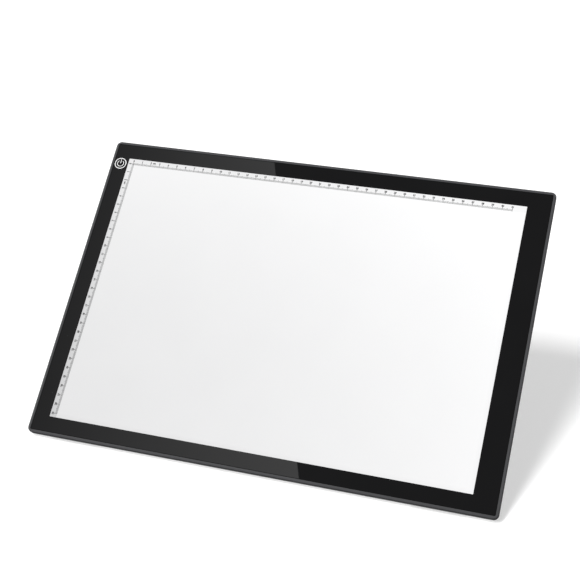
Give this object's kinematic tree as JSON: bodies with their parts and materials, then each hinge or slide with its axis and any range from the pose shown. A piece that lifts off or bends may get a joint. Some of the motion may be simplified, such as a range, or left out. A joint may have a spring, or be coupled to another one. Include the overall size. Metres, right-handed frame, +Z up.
{
  "type": "light box",
  "caption": "Thin edge-lit tracing light box with a white lit window, glossy black border, printed centimetre scales, touch key and a rear stand that folds out.",
  "frame": {"origin": "on the surface the pad stands on, in the middle of its width and midway between its front edge and the rear of its open stand", "axes": "+X along the width to the viewer's right, +Y from the front to the back, +Z up; the lit face looks to -Y and up, tilted 40 degrees from the floor"},
  "size_m": [0.476, 0.3104, 0.2247],
  "materials": {
    "frame_plastic": "satin moulded rim",
    "cover_plastic": "fine moulded texture",
    "front_acrylic": "glossy, black border printed on the underside",
    "lit_window": "milk white, lit from behind",
    "guide_acrylic": "polished clear",
    "reflector_film": "white film",
    "led_strip": "white solder mask with pale yellow LEDs",
    "spreader_aluminium": "extruded",
    "adhesive_tape": "matte foam tape",
    "sensor_copper": "copper foil",
    "spring_steel": "bright wire",
    "circuit_board": "solder mask",
    "chip_black": "moulded epoxy",
    "coil_ferrite": "dull ferrite",
    "capacitor_ceramic": "fired ceramic",
    "ribbon_film": "flat film cable",
    "connector_nylon": "moulded nylon",
    "lead_insulation": "insulated wire",
    "socket_steel": "drawn steel shell",
    "tongue_plastic": "moulded",
    "screw_steel": "black zinc plated",
    "foot_rubber": "matte rubber",
    "bracket_plastic": "moulded nylon",
    "stand_plastic": "satin moulded",
    "shaft_steel": "bright steel"
  },
  "bodies": {
    "panel": {"side_frame": "frame_plastic", "rear_cover": "cover_plastic", "front_panel": "front_acrylic", "diffuser_sheet": "lit_window", "light_guide_plate": "guide_acrylic", "reflector_sheet": "reflector_film", "led_strip_top": "led_strip", "led_strip_bottom": "led_strip", "heat_spreader_top": "spreader_aluminium", "heat_spreader_bottom": "spreader_aluminium", "panel_tape_top": "adhesive_tape", "panel_tape_bottom": "adhesive_tape", "panel_tape_left": "adhesive_tape", "panel_tape_right": "adhesive_tape", "touch_sensor": "sensor_copper", "touch_spring": "spring_steel", "touch_board": "circuit_board", "touch_chip": "chip_black", "driver_board": "circuit_board", "driver_coil": "coil_ferrite", "driver_chip": "chip_black", "driver_capacitor": "capacitor_ceramic", "ribbon_cable": "ribbon_film", "ribbon_connector_left": "connector_nylon", "ribbon_connector_right": "connector_nylon", "led_lead_top": "lead_insulation", "led_lead_bottom": "lead_insulation", "power_socket_shell": "socket_steel", "power_socket_tongue": "tongue_plastic", "cover_screw_1": "screw_steel", "cover_screw_2": "screw_steel", "cover_screw_3": "screw_steel", "cover_screw_4": "screw_steel", "cover_screw_5": "screw_steel", "cover_screw_6": "screw_steel", "cover_screw_7": "screw_steel", "cover_screw_8": "screw_steel", "bracket_screw_1": "screw_steel", "bracket_screw_2": "screw_steel", "bracket_screw_3": "screw_steel", "bracket_screw_4": "screw_steel", "foot_lower_left": "foot_rubber", "foot_lower_right": "foot_rubber", "foot_upper_left": "foot_rubber", "foot_upper_right": "foot_rubber", "hinge_bracket_left": "bracket_plastic", "hinge_bracket_right": "bracket_plastic"},
    "stand": {"stand_shaft": "shaft_steel", "shaft_clip_left": "shaft_steel", "shaft_clip_right": "shaft_steel", "stand_leg_left": "stand_plastic", "stand_leg_right": "stand_plastic", "stand_crossbar": "stand_plastic", "stand_sole": "foot_rubber", "leg_screw_1": "screw_steel", "leg_screw_2": "screw_steel", "leg_screw_3": "screw_steel", "leg_screw_4": "screw_steel"}
  },
  "joints": [
    {"name": "stand_fold", "type": "hinge", "parent": "panel", "child": "stand", "pos_m": [0, 0.02832, 0.14605], "axis": [-1, 0, 0], "range_deg": [0, 90]}
  ]
}
